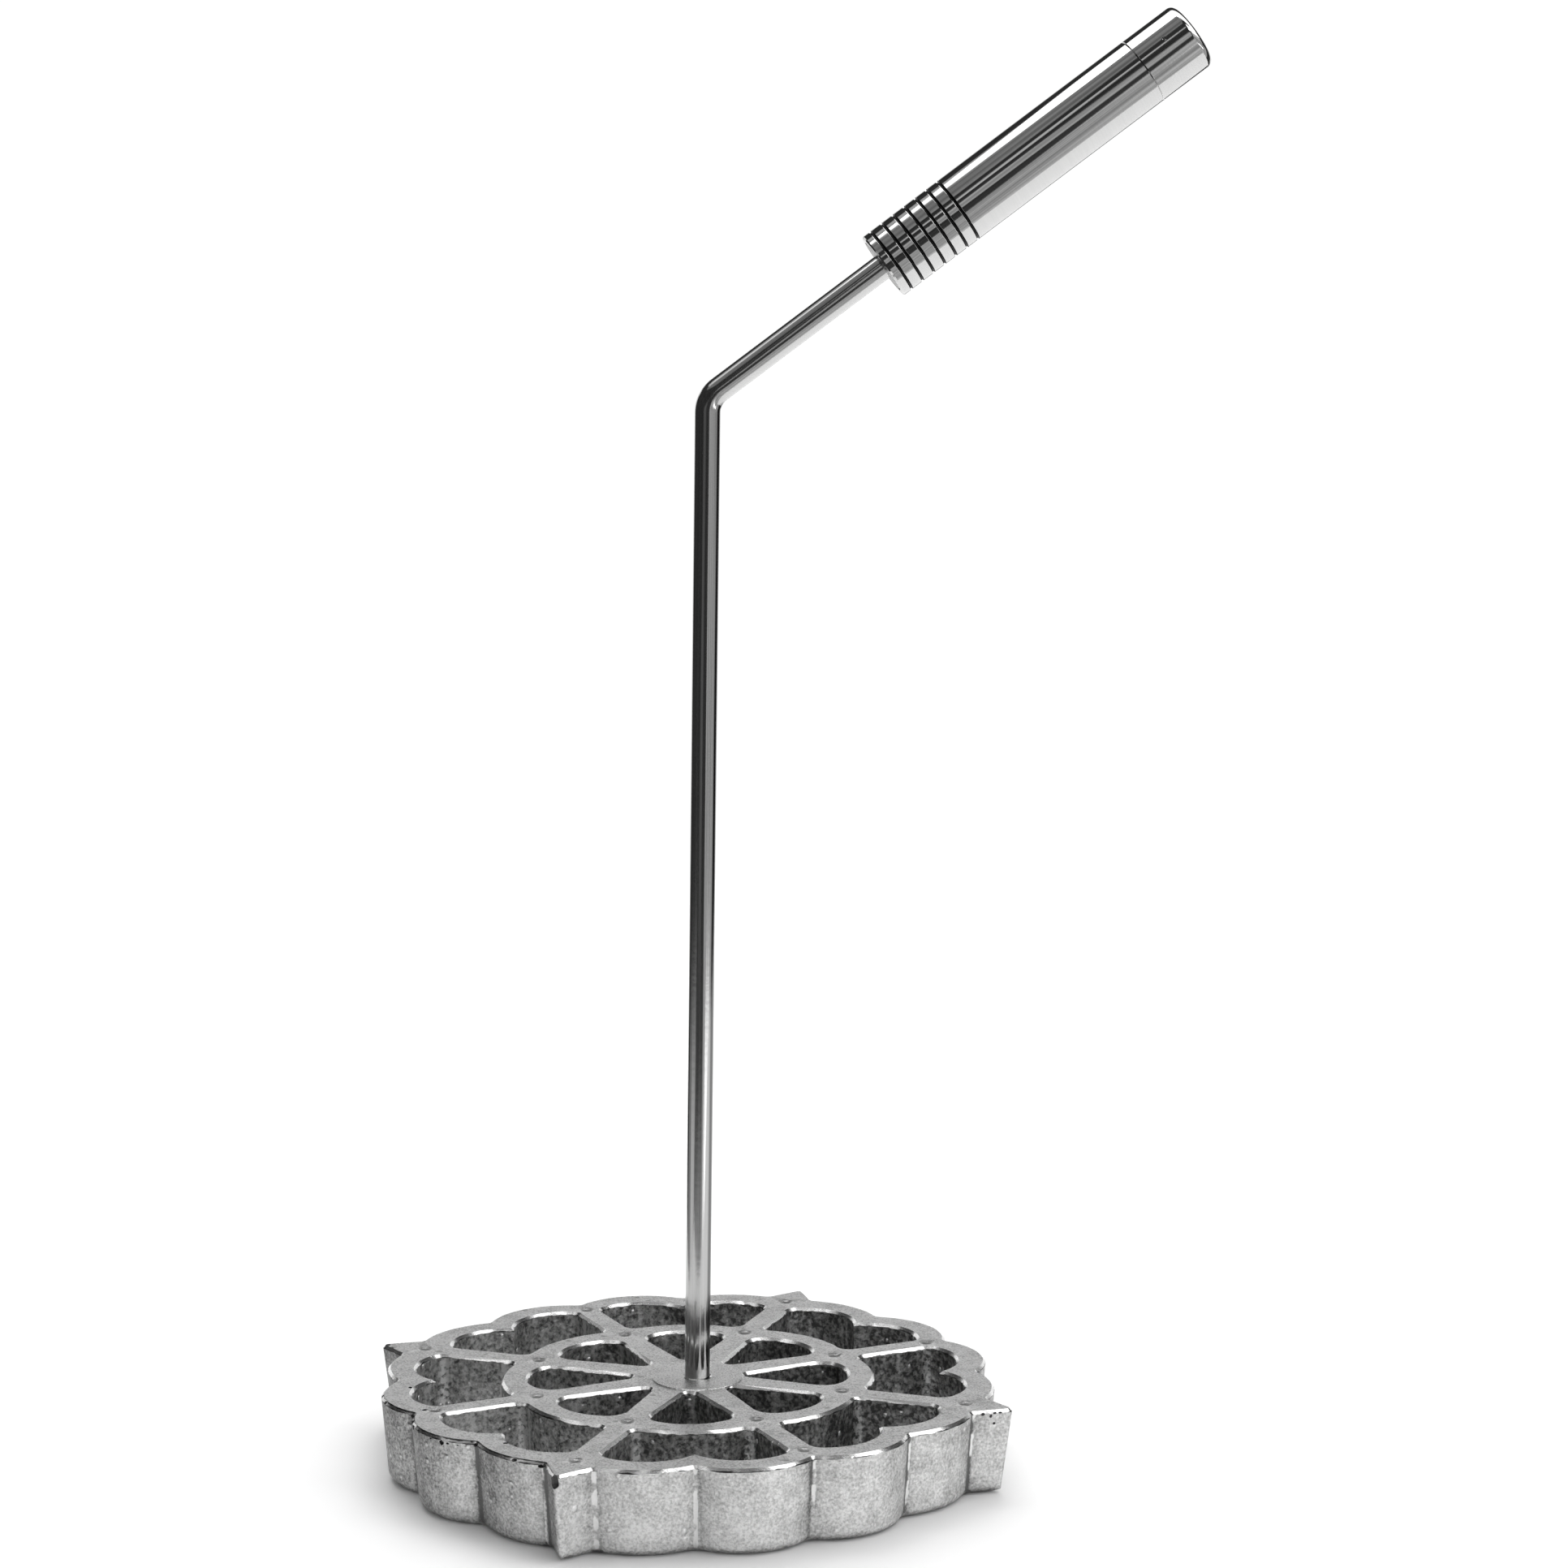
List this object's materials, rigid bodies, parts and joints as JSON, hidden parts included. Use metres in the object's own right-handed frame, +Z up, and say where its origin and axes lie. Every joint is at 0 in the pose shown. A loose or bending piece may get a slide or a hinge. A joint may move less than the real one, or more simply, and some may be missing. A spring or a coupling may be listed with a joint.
{
  "type": "rosette iron",
  "caption": "Long-handled rosette iron: an openwork scalloped cast head on a bent steel rod with a ribbed round metal handle.",
  "frame": {"origin": "middle of the head's flat underside", "axes": "+Z up from the resting face; the rod bends over towards +X, so the handle's axis lies in a plane parallel to XZ"},
  "size_m": [0.1312, 0.0996, 0.2285],
  "materials": {
    "cast_aluminium": "sand-cast walls with a ground satin top face",
    "rod_steel": "drawn wire, plain bright",
    "handle_chrome": "turned and polished, with fine lathe lines",
    "inner_steel": "plain turned steel, hidden inside the handle"
  },
  "bodies": {
    "root": {"rosette_head": "cast_aluminium", "bent_rod": "rod_steel", "handle_tube": "handle_chrome", "end_cap": "handle_chrome", "front_bush": "inner_steel", "lock_nut": "inner_steel"}
  },
  "joints": []
}
